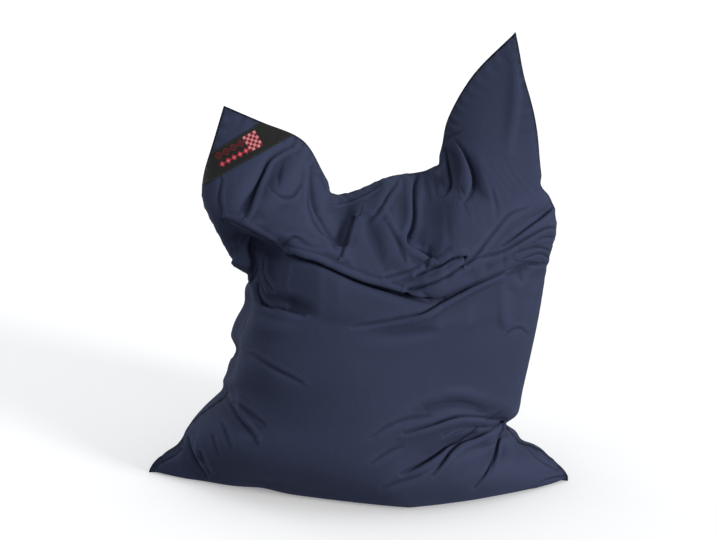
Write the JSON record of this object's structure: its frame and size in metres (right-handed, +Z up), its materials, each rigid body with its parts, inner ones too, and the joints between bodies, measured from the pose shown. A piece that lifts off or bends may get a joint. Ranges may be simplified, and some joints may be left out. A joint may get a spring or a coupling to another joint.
{
  "type": "bean bag",
  "caption": "Large filled floor cushion of two sewn cloth panels, standing on its bottom seam with spread lower corners, a slumped top and upright ears, a ribbon across the shorter ear.",
  "frame": {"origin": "centre of the bounding box in plan, on the floor the bag stands on", "axes": "+Z up, X across from ear to ear with the tall ear at +X, front panel towards -Y"},
  "size_m": [1.2068, 0.7508, 1.264],
  "materials": {
    "cloth": "navy coated nylon, plain weave, slight sheen",
    "band": "black woven ribbon with a red and pale pattern"
  },
  "bodies": {
    "root": {"bag": "cloth", "corner_band": "band"}
  },
  "joints": []
}
